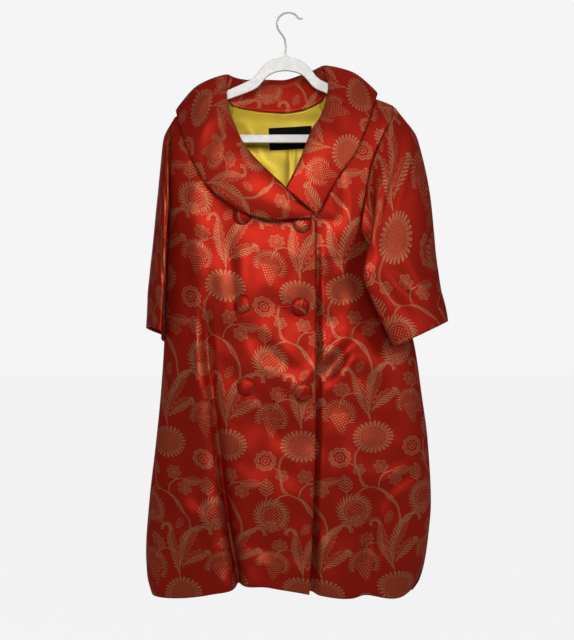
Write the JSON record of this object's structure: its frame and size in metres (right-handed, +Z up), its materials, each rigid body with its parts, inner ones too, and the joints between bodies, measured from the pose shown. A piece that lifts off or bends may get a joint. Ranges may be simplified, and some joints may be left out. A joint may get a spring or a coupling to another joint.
{
  "type": "coat on hanger",
  "caption": "Knee-length double-breasted brocade coat with a wide rolled shawl collar and three-quarter sleeves, hanging flat on a white plastic hanger.",
  "frame": {"origin": "inner top of the hanger's hook, where a rail holds it", "axes": "+Z up; the coat's front faces -Y; +X is the viewer's right, the wearer's left"},
  "size_m": [0.5687, 0.1913, 1.0916],
  "materials": {
    "brocade": "red satin ground with a woven antique-gold flower, fruit and leaf pattern",
    "lining_satin": "smooth gold satin",
    "label_weave": "plain black weave, bare",
    "white_plastic": "semi-gloss white",
    "hook_wire": "pale smooth wire"
  },
  "bodies": {
    "root": {"right_front": "brocade", "left_front": "brocade", "back": "brocade", "right_sleeve": "brocade", "left_sleeve": "brocade", "collar": "brocade", "lining": "lining_satin", "label": "label_weave", "button_upper_outer": "brocade", "button_upper_inner": "brocade", "button_middle_outer": "brocade", "button_middle_inner": "brocade", "button_lower_outer": "brocade", "button_lower_inner": "brocade", "buttonhole_middle": "brocade", "buttonhole_lower": "brocade", "hanger": "white_plastic", "hanger_hook": "hook_wire"}
  },
  "joints": []
}
